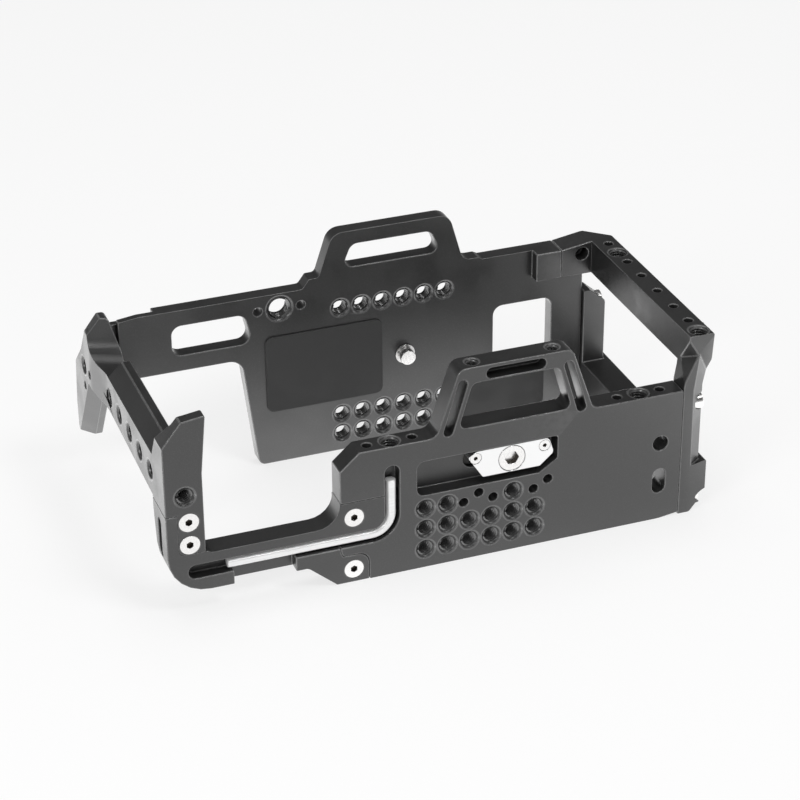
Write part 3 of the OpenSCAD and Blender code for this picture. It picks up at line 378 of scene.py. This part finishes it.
# The keeper is coloured near black; this colour paints the dark shade beside the left edge of the slide.
near_black_keeper = make_bright("near_black_keeper_steel", grey(0.05, 0.02), 0.42)
magnet_nickel = make_bright("magnet_nickel", grey(0.66, 0.02), 0.18)
# Painted shade for the faces inside hex sockets: dark, with a warm tint of thread oil.
socket_painted_shade = make_bright("socket_painted_shade_oil", grey(0.10, 0.12), 0.42)
silver = make_silver("silver_anodised")
print("bright metals:", nickel.name, key_steel.name, spring_steel.name, silver.name)

# %% [markdown]
# ## Rubber
# The pads are thin moulded silicone. It is matt, a shade lighter than the anodising, and a very fine
# moulded texture keeps it from shining. A little sheen stands for the dust that it always holds.

# %% Rubber material


def make_rubber(name, tone=0.028):
    """Matt moulded silicone."""
    made, tree, shader = material(name)
    shader.inputs["Sheen Weight"].default_value = 0.12
    shader.inputs["Sheen Roughness"].default_value = 0.6
    blast = place_group(tree, bead_blast, Grain=2600.0, Cloud=90.0)
    body = mix(tree, blast["Clouds"], grey(tone * 0.85), grey(tone * 1.2))
    tree.links.new(body, shader.inputs["Base Color"])
    tree.links.new(ramp(tree, blast["Clouds"], 0.0, 1.0, 0.68, 0.8), shader.inputs["Roughness"])
    bumped(tree, shader, blast["Height"], 0.35, 0.05 * MM)
    return made


rubber = make_rubber("silicone_pad")
print("rubber ready")

# %% [markdown]
# ## Clean meshes
# The frame's meshes are exact, but every flat face is split into triangles. A bevel needs one polygon
# for each flat, so the meshes are welded and their flats dissolved first. The port side's posts and
# rails are drawn as six stretches and milled as one piece: a Boolean union, with the exact solver
# because they meet face to face, makes them one again before the dissolve.

# %% Clean meshes
FLAT_ANGLE = math.radians(0.5)
SHARP_ANGLE = math.radians(28)
WELD = 0.002 * MM


def welded(data):
    """The same mesh with its doubled corners welded."""
    mesh = bmesh.new()
    mesh.from_mesh(data)
    bmesh.ops.remove_doubles(mesh, verts=mesh.verts, dist=WELD)
    made = bpy.data.meshes.new(data.name + "_welded")
    mesh.to_mesh(made)
    mesh.free()
    return made


def loose_object(name, data):
    """An object in the scene that holds a mesh."""
    piece = bpy.data.objects.new(name, data)
    bpy.context.scene.collection.objects.link(piece)
    return piece


def applied(piece):
    """The piece's mesh with its modifiers applied."""
    bpy.context.view_layer.update()
    made = bpy.data.meshes.new_from_object(piece.evaluated_get(bpy.context.evaluated_depsgraph_get()))
    piece.modifiers.clear()
    return made


def clean_piece(name, members):
    """One object for some drawn nodes: joined where they meet, with each flat face as one polygon."""
    piece = loose_object(name, welded(nodes[members[0]].data))
    others = [loose_object(name + "_member", welded(nodes[member].data)) for member in members[1:]]
    for other in others:
        join = piece.modifiers.new("join", "BOOLEAN")
        join.operation = "UNION"
        join.solver = "EXACT"
        join.object = other
    if others:
        piece.data = applied(piece)
    for other in others:
        bpy.data.objects.remove(other)
    mesh = bmesh.new()
    mesh.from_mesh(piece.data)
    bmesh.ops.remove_doubles(mesh, verts=mesh.verts, dist=WELD)
    bmesh.ops.dissolve_degenerate(mesh, edges=mesh.edges, dist=WELD)
    bmesh.ops.dissolve_limit(mesh, angle_limit=FLAT_ANGLE, verts=mesh.verts, edges=mesh.edges)
    mesh.to_mesh(piece.data)
    mesh.free()
    return piece


print("clean meshes ready")

# %% [markdown]
# ## Broken edges
# A shop breaks every edge with a file or in a tumbler, and the narrow facet catches the light. One
# width for all edges would tear small features, so each chain of sharp edges gets its own share as a
# bevel weight: about as much as the faces beside it can give. The share must not change along a chain.
# Two edges that turn by a few degrees meet far away if one is set back more than the other. Where a few
# corners still land off the surface, they are drawn back to it.

# %% Broken edges
CHAIN_ANGLE = math.radians(35)
SHARE_SHARP = 0.42
SHARE_FLAT = 0.85
ROOM_ALONG = 4
LEAST_SINE = 0.2
LEAST_SHARE = 0.35
STRAY_INSIDE = 0.6
STRAY_OUTSIDE = 0.34


def way_out(edge, vert):
    """From a corner of an edge to its other corner."""
    return edge.other_vert(vert).co - vert.co


def room_beside(edge, is_sharp):
    """How wide a bevel the faces at an edge's two ends leave room for."""
    room = edge.calc_length() * ROOM_ALONG
    for vert in edge.verts:
        along = way_out(edge, vert).normalized()
        for other in vert.link_edges:
            away = way_out(other, vert)
            if other == edge or away.length < WELD:
                continue
            angle = along.angle(away)
            if angle > math.pi - CHAIN_ANGLE:
                continue
            share = SHARE_SHARP if is_sharp(other) else SHARE_FLAT
            room = min(room, share * away.length * max(LEAST_SINE, math.sin(angle)))
    return room


def chain_of(start, left):
    """Takes one smooth chain of sharp edges out of those that are left."""
    chain = [start]
    left.discard(start)
    for edge in chain:
        for vert in edge.verts:
            back = way_out(edge, vert)
            for other in vert.link_edges:
                if other in left and back.angle(way_out(other, vert), 0.0) > math.pi - CHAIN_ANGLE:
                    left.discard(other)
                    chain.append(other)
    return chain


def weigh_edges(data, width):
    """Gives each chain of sharp edges a bevel weight: its share of the width."""
    mesh = bmesh.new()
    mesh.from_mesh(data)
    layers = mesh.edges.layers.float
    weights = layers.get("bevel_weight_edge") or layers.new("bevel_weight_edge")
    sharp = {e for e in mesh.edges if len(e.link_faces) == 2 and e.calc_face_angle(0.0) > SHARP_ANGLE}
    left = set(sharp)
    while left:
        chain = chain_of(next(iter(left)), left)
        room = min(room_beside(edge, sharp.__contains__) for edge in chain)
        for edge in chain:
            edge[weights] = min(1.0, max(LEAST_SHARE, room / width))
    mesh.to_mesh(data)
    mesh.free()


def draw_back(mesh, tree, width, box):
    """Draws corners that lie off the drawn surface back to it and into its box, and counts them."""
    strays = 0
    for vert in mesh.verts:
        near, outward, _, distance = tree.find_nearest(vert.co)
        limit = STRAY_OUTSIDE if (vert.co - near).dot(outward) > 0 else STRAY_INSIDE
        if distance > limit * width:
            vert.co = near
            strays += 1
        vert.co = [min(max(c, low), high) for c, low, high in zip(vert.co, *box)]
    bmesh.ops.dissolve_degenerate(mesh, edges=mesh.edges, dist=WELD)
    return strays


print("bevel tools ready")

# %% [markdown]
# ## Flats
# A flat with a grid of holes is one polygon only because thin bridges join the holes' rims to its
# outline. The bevel widens the rims, and a rim may then cross a bridge that passed close by, which
# spoils the whole polygon. So each flat is filled afresh from its rims alone: a constrained Delaunay
# triangulation in the flat's own plane, of which only the triangles between the rims are kept. At the
# end every corner takes its normal from the faces round it, weighted by area, and a flat counts with
# its whole area. The flats stay flat, and only the broken edges shine.

# %% Flats and normals
FLAT_COS = math.cos(math.radians(0.5))
FLAT_STEP = 0.01 * MM
RIM_SLOT = 1
LEAST_RIM = 12
SAME_POINT = 1e-5


def flats_of(mesh):
    """Groups of neighbouring faces that lie in one plane."""
    left = set(mesh.faces)
    while left:
        start = left.pop()
        where, normal = start.verts[0].co.copy(), start.normal.copy()
        flat = [start]
        for face in flat:
            for other in {other for edge in face.edges for other in edge.link_faces} & left:
                step = abs((other.verts[0].co - where).dot(normal))
                if other.normal.dot(normal) > FLAT_COS and step < FLAT_STEP:
                    left.discard(other)
                    flat.append(other)
        yield flat, normal


def between_rims(points, rims):
    """For each point in the plane, is it inside the outline and outside the holes?"""
    x, y = points[:, :1], points[:, 1:]
    x0, y0, x1, y1 = rims.T
    crosses = (y0 > y) != (y1 > y)
    reach = (x1 - x0) * (y - y0) / np.where(y1 == y0, 1, y1 - y0) + x0
    return (crosses & (x < reach)).sum(axis=1) % 2 == 1


def refill(mesh, flat, normal, areas):
    """Replaces the faces of one flat by triangles between its rims."""
    members = set(flat)
    edges = {edge for face in flat for edge in face.edges}
    rims = [edge for edge in edges if sum(face in members for face in edge.link_faces) == 1]
    if len(rims) < LEAST_RIM:
        return
    verts = list({vert for edge in rims for vert in edge.verts})
    index = {vert: i for i, vert in enumerate(verts)}
    across = normal.orthogonal().normalized()
    up = normal.cross(across)
    flat_points = [Vector((vert.co.dot(across), vert.co.dot(up))) / MM for vert in verts]
    ends = [[index[vert] for vert in edge.verts] for edge in rims]
    points, _, triangles, sources, _, _ = delaunay_2d_cdt(flat_points, ends, [], 1, SAME_POINT)
    lift = verts[0].co.dot(normal) * normal
    corners = [verts[source[0]] if source else mesh.verts.new(lift + (across * p.x + up * p.y) * MM)
               for p, source in zip(points, sources)]
    where = np.array([tuple(p) for p in points])
    centres = np.array([where[list(t)].mean(axis=0) for t in triangles])
    lines = np.array([tuple(flat_points[a]) + tuple(flat_points[b]) for a, b in ends])
    kept = between_rims(centres, lines)
    whole = sum(face.calc_area() for face in flat)
    slot = min(face.material_index for face in flat)
    bmesh.ops.delete(mesh, geom=flat, context="FACES_ONLY")
    for triangle, keep in zip(triangles, kept):
        if keep:
            face = mesh.faces.new([corners[i] for i in triangle])
            face.material_index = slot
            areas[face] = whole


def soften(data, areas_by_face):
    """Sets each corner's normal from the faces round it, weighted by area."""
    total = np.zeros((len(data.vertices), 3))
    for face in data.polygons:
        face.use_smooth = True
        weighted = np.array(face.normal) * areas_by_face.get(face.index, face.area)
        for corner in face.vertices:
            total[corner] += weighted
    length = np.linalg.norm(total, axis=1, keepdims=True)
    data.normals_split_custom_set_from_vertices(total / np.where(length == 0, 1, length))


def break_edges(piece, width, segments):
    """Bevels the sharp edges of a piece, fills its flats afresh and sets its normals."""
    tree = BVHTree.FromObject(piece, bpy.context.evaluated_depsgraph_get())
    corners = [vert.co for vert in piece.data.vertices]
    box = [[pick(co[axis] for co in corners) for axis in range(3)] for pick in (min, max)]
    weigh_edges(piece.data, width)
    bevel = piece.modifiers.new("broken_edges", "BEVEL")
    bevel.width = width
    bevel.segments = segments
    bevel.limit_method = "WEIGHT"
    bevel.use_clamp_overlap = False
    # The bevel facets take the second slot; on anodised pieces that is the paler rim material, a painted
    # highlight.
    bevel.material = RIM_SLOT
    bevel.miter_outer = "MITER_SHARP"
    piece.data = applied(piece)
    mesh = bmesh.new()
    mesh.from_mesh(piece.data)
    strays = draw_back(mesh, tree, width, box)
    mesh.normal_update()
    areas = {}
    for flat, normal in list(flats_of(mesh)):
        refill(mesh, flat, normal, areas)
    bmesh.ops.delete(mesh, geom=[e for e in mesh.edges if not e.link_faces], context="EDGES")
    mesh.faces.index_update()
    mesh.to_mesh(piece.data)
    soften(piece.data, {face.index: area for face, area in areas.items()})
    mesh.free()
    return strays


print("flat tools ready")

# %% [markdown]
# ## Sockets
# A hex socket is dark inside, and that shade is painted: light hardly reaches its floor, so its faces
# take a dark, slightly warm material, partly painted shade and partly a film of thread oil. The faces
# inside a socket are those that look at other faces of the same screw from close by, so a few short
# rays from each face find them, and they take a second material.

# %% Socket faces
RAY_TILTS = [(0.0, 0.0)] + [(math.radians(50), math.radians(60 * k)) for k in range(6)]
RAY_LENGTH = 5.0 * MM
LIFT = 0.02 * MM


def is_inside(face_centre, normal, tree):
    """Does most of what a face looks at belong to the same piece, close by?"""
    side = normal.orthogonal()
    hits = 0
    for tilt, turn in RAY_TILTS:
        ray = normal.copy()
        ray.rotate(Quaternion(side, tilt))
        ray.rotate(Quaternion(normal, turn))
        hits += tree.ray_cast(face_centre + normal * LIFT, ray, RAY_LENGTH)[0] is not None
    return hits > len(RAY_TILTS) / 2


def darken_sockets(piece, finish):
    """Gives the faces inside a screw's socket the painted shade material, in a last material slot."""
    tree = BVHTree.FromObject(piece, bpy.context.evaluated_depsgraph_get())
    piece.data.materials.append(finish)
    inside = [face for face in piece.data.polygons if is_inside(face.center, face.normal, tree)]
    for face in inside:
        face.material_index = len(piece.data.materials) - 1
    return len(inside)


print("socket finder ready")

# %% [markdown]
# ## The finished pieces
# Each finished piece stands for its drawn node, which stays behind it for collision, and rides on the
# same body. The list gives every piece its finish and the width of its broken edges in millimetres: a
# milled plate has a wider one than a turned screw, and the drawn hex bar has rounded corners. The last
# number is how many facets the edge gets.

# %% Finished pieces
SIDE_FRAME = ["side_near_post", "side_lower_rail", "side_far_post", "side_upper_rail", "side_rail_end",
              "side_corner_block"]
PLATED, PLATED_DEEP = (nickel, 0.12, 2), (nickel, 0.3, 3)
PIECES = [
    (["bottom_plate"], anodised, 0.45, 2), (["grip_corner"], anodised, 0.42, 2),
    (["grip_arm"], anodised, 0.45, 2), (["top_plate"], anodised, 0.45, 2), (SIDE_FRAME, anodised, 0.45, 2),
    (["corner_screws"], *PLATED), (["arm_screws"], *PLATED), (["side_bottom_screws"], *PLATED_DEEP),
    (["side_top_screws"], *PLATED_DEEP), (["arm_top_screws"], *PLATED), (["screw_plate"], silver, 0.3, 2),
    (["screw_plate_screws"], nickel, 0.10, 2), (["screw_plate_keeper"], near_black_keeper, 0.10, 2),
    (["camera_screw"], nickel, 0.2, 2), (["camera_screw_ring"], spring_steel, 0.05, 1),
    (["top_camera_screw"], nickel, 0.2, 2), (["top_screw_ring"], spring_steel, 0.05, 1),
    (["hex_wrench"], key_steel, 0.5, 3), (["wrench_magnets"], magnet_nickel, 0.12, 2),
    (["bottom_pads"], rubber, 0.15, 2), (["top_pads"], rubber, 0.15, 2),
]


def finished(members, finish, width_mm, segments):
    """A finished piece for some drawn nodes of one body."""
    name = members[0] if len(members) == 1 else "side_frame"
    piece = clean_piece(name + "_finished", members)
    piece.data.materials.clear()
    # Anodised pieces take the paler rim material, a painted highlight, on their bevel facets.
    for slot_finish in (finish, rim_painted_highlight if finish is anodised else finish):
        piece.data.materials.append(slot_finish)
    strays = break_edges(piece, width_mm * MM, segments)
    dark = darken_sockets(piece, socket_painted_shade) if finish is nickel else 0
    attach(piece, nodes[members[0]]["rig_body"])
    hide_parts(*members)
    print(f"{piece.name}: {len(piece.data.polygons)} faces, {strays} corners drawn back, {dark} socket faces")


for members, finish, width_mm, segments in PIECES:
    finished(members, finish, width_mm, segments)

# %% [markdown]
# ## Threads
# A tapped hole shows its thread, most of all in a grid of large holes seen from the front. The drawing
# has plain bores, and the record lists each one as a mount with its place, direction and depth. So the
# threads follow the record: a sleeve lines each bore, and each row of its points climbs the hole along
# the helix. A row then lies all its length on one flank, root or crest, and the lines stay crisp with
# few points. For each bore's radius the table gives the thread's root and crest radius and its pitch,
# and the profile gives how far along one pitch each line lies and how far it rises.

# %% Thread sleeves
THREADS = {3.2: (3.16, 2.58, 1.27), 4.8: (4.76, 4.02, 1.588), 2.0: (1.97, 1.62, 0.7)}
PROFILE = [(0.0, 0.0), (0.12, 0.0), (0.46, 1.0), (0.66, 1.0)]
AROUND = 48
SLEEVE_WALL = 0.12
MOUTH = 0.9


def sleeve(mesh, origin, axis, bore_r, depth):
    """Adds one threaded sleeve, from below the bore's widened mouth down to its depth."""
    major, minor, pitch = THREADS[bore_r]
    turn = Vector((0, 0, 1)).rotation_difference(Vector(axis)).to_matrix()

    def vertex(radius, along, k):
        angle = 2 * math.pi * k / AROUND
        spot = Vector((radius * math.cos(angle), radius * math.sin(angle), -min(max(along, 0.0), depth)))
        return mesh.verts.new(origin + turn @ spot * MM)

    rows = []
    for turn_count in range(-1, math.ceil(depth / pitch) + 1):
        for at, rise in PROFILE:
            rows.append([(major - rise * (major - minor), (turn_count + at + k / AROUND) * pitch, k)
                         for k in range(AROUND + 1)])
    for low, high in zip(rows, rows[1:]):
        for corners in zip(low, low[1:], high[1:], high):
            heights = [along for _, along, _ in corners]
            if max(heights[2:]) > 0 and min(heights[:2]) < depth:
                mesh.faces.new([vertex(*corner) for corner in corners])
    outer = bore_r + SLEEVE_WALL
    for k in range(AROUND):
        ends = (0, k), (depth, k), (depth, k + 1), (0, k + 1)
        mesh.faces.new([vertex(outer, along, step) for along, step in ends])


def tapped_bores(record):
    """Every tapped bore of the record: its mouth, its direction, its radius and its depth."""
    for mount in record["mounts"]:
        dims, mouth, axis = mount["dims"], Vector(mount["pos_m"]), mount["axis"]
        radius = dims.get("r_mm", dims.get("hole_r_mm"))
        if mount["kind"] == "threaded_hole" and radius in THREADS:
            yield mouth, axis, radius, dims["length_mm"]
        if mount["kind"] == "bolt_pattern" and radius in THREADS:
            wall = PLATE_T if axis[1] < 0 else TOP_T
            for side in (-0.5, 0.5):
                for row in (-0.5, 0.5) if dims["count"] == 4 else (0,):
                    shift = Vector((side * dims["spacing_x_mm"], 0, row * dims.get("spacing_y_mm", 0)))
                    yield mouth + shift * MM, axis, radius, wall - 2 * MOUTH


thread_mesh = bmesh.new()
bores = list(tapped_bores(frame["record"]))
for bore in bores:
    sleeve(thread_mesh, *bore)
bmesh.ops.remove_doubles(thread_mesh, verts=thread_mesh.verts, dist=WELD)
bmesh.ops.dissolve_degenerate(thread_mesh, edges=thread_mesh.edges, dist=WELD)
threads = loose_object("cut_threads", bpy.data.meshes.new("cut_threads"))
thread_mesh.to_mesh(threads.data)
thread_mesh.free()
for face in threads.data.polygons:
    face.use_smooth = True
threads.data.set_sharp_from_angle(angle=SHARP_ANGLE)
threads.data.materials.append(thread_black)
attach(threads, "cage")
print(len(bores), "threads,", len(threads.data.polygons), "faces")

# %% [markdown]
# ## Floor and light
# The cage lies on a white sheet that glows from below, in a room whose ceiling is dark. That is how a
# black object keeps its shape on white: each face is a weak mirror, and what it mirrors tells it from
# its neighbour. Faces turned to the side mirror the sheet at a grazing angle and go pale, upright front
# faces mirror the near sheet and stay dark grey, and level faces mirror the dark ceiling. The sheet
# glows more at the sides and behind than in front, and fades away from the cage, so that slanted
# faces, which mirror the far sheet and the horizon, go dark too. Two small soft lamps hang where the
# broken edges mirror them, so that each edge gets its thin bright line, and a wide weak one hangs
# overhead. To the camera, sheet and room are white.

# %% Stage
AMBIENT = 0.45
HORIZON, CEILING, DARK_FROM = 0.45, 0.09, 0.32
FRONT_GLOW, SIDE_GLOW, FAR_SHARE = 1.20, 2.2, 0.30
SHEET_NEAR, SHEET_FAR = 0.26, 0.55
BEHIND, BESIDE = (-0.10, 0.06), (0.10, 0.19)
SHEET_TONE, SHEET_WHITE, SHEET_SIZE = 0.94, 0.70, 6.0
AIM = (0, 0, 0.04)


def rays(tree):
    """Is it a ray from the camera, and is it one that a shiny or a clear surface sent?"""
    seen = add(tree, "ShaderNodeLightPath").outputs
    return seen["Is Camera Ray"], maths(tree, "MAXIMUM", seen["Is Glossy Ray"], seen["Is Transmission Ray"])


def make_floor():
    """A large pale floor, which keeps the shadow and glows in reflections."""
    made, tree, shader = material("pale_floor")
    shader.inputs["Base Color"].default_value = grey(SHEET_TONE)
    shader.inputs["Roughness"].default_value = 0.9
    shader.inputs["Specular IOR Level"].default_value = 0.0
    camera_ray, mirrored = rays(tree)
    where = add(tree, "ShaderNodeNewGeometry").outputs["Position"]
    parts = add(tree, "ShaderNodeSeparateXYZ", {0: where}).outputs
    beside = maths(tree, "MAXIMUM", ramp(tree, parts["Y"], *BEHIND), ramp(tree, parts["X"], *BESIDE))
    away = add(tree, "ShaderNodeVectorMath", {0: where}, operation="LENGTH").outputs["Value"]
    by_side = maths(tree, "ADD", maths(tree, "MULTIPLY", beside, SIDE_GLOW - FRONT_GLOW), FRONT_GLOW)
    sheet = maths(tree, "MULTIPLY", by_side, ramp(tree, away, SHEET_NEAR, SHEET_FAR, 1.0, FAR_SHARE))
    glow = add(tree, "ShaderNodeEmission", {"Color": grey(1.0), "Strength": 1.0})
    sheet_glow = add(tree, "ShaderNodeEmission", {"Color": grey(1.0), "Strength": sheet})
    white = add(tree, "ShaderNodeMixShader", {0: maths(tree, "MULTIPLY", camera_ray, SHEET_WHITE)})
    tree.links.new(shader.outputs[0], white.inputs[1])
    tree.links.new(glow.outputs[0], white.inputs[2])
    both = add(tree, "ShaderNodeMixShader", {0: mirrored})
    tree.links.new(white.outputs[0], both.inputs[1])
    tree.links.new(sheet_glow.outputs[0], both.inputs[2])
    tree.links.new(both.outputs[0], tree.nodes["Material Output"].inputs["Surface"])
    mesh = bmesh.new()
    bmesh.ops.create_grid(mesh, x_segments=1, y_segments=1, size=SHEET_SIZE)
    data = bpy.data.meshes.new("floor")
    mesh.to_mesh(data)
    mesh.free()
    floor = loose_object("floor", data)
    floor.data.materials.append(made)


def make_world():
    """White to the camera, dark above in reflections, and a soft light all around."""
    world = bpy.data.worlds.new("room")
    world.use_nodes = True
    tree = world.node_tree
    background = tree.nodes["Background"]
    background.inputs["Color"].default_value = grey(1.0)
    camera_ray, mirrored = rays(tree)
    direction = add(tree, "ShaderNodeTexCoord").outputs["Generated"]
    height = add(tree, "ShaderNodeSeparateXYZ", {0: direction}).outputs["Z"]
    mirror = ramp(tree, height, 0.0, DARK_FROM, HORIZON, CEILING)
    other = maths(tree, "SUBTRACT", 1.0, maths(tree, "MAXIMUM", camera_ray, mirrored))
    seen = maths(tree, "ADD", camera_ray, maths(tree, "MULTIPLY", mirrored, mirror))
    total = maths(tree, "ADD", seen, maths(tree, "MULTIPLY", other, AMBIENT))
    tree.links.new(total, background.inputs["Strength"])
    bpy.context.scene.world = world


def softbox(name, where, size, power):
    """A square soft lamp that looks at the middle of the cage."""
    data = bpy.data.lights.new(name, "AREA")
    data.shape = "SQUARE"
    data.size = size
    data.energy = power
    lamp = bpy.data.objects.new(name, data)
    back = Vector(where) - Vector(AIM)
    lamp.matrix_world = Matrix.Translation(where) @ back.to_track_quat("Z", "Y").to_matrix().to_4x4()
    bpy.context.scene.collection.objects.link(lamp)


make_floor()
make_world()
softbox("top_softbox", (0.42, -0.72, 1.22), 0.40, 5.5)
softbox("left_softbox", (-0.86, -0.60, 0.60), 0.40, 3.5)
softbox("overhead", (0.0, 0.25, 1.5), 0.9, 5.0)
bpy.context.scene.view_settings.view_transform = "Standard"
print("stage ready")

# %% [markdown]
# ## Closing
# The last cell prints a closing line.

# %% Closing
print("script finished")
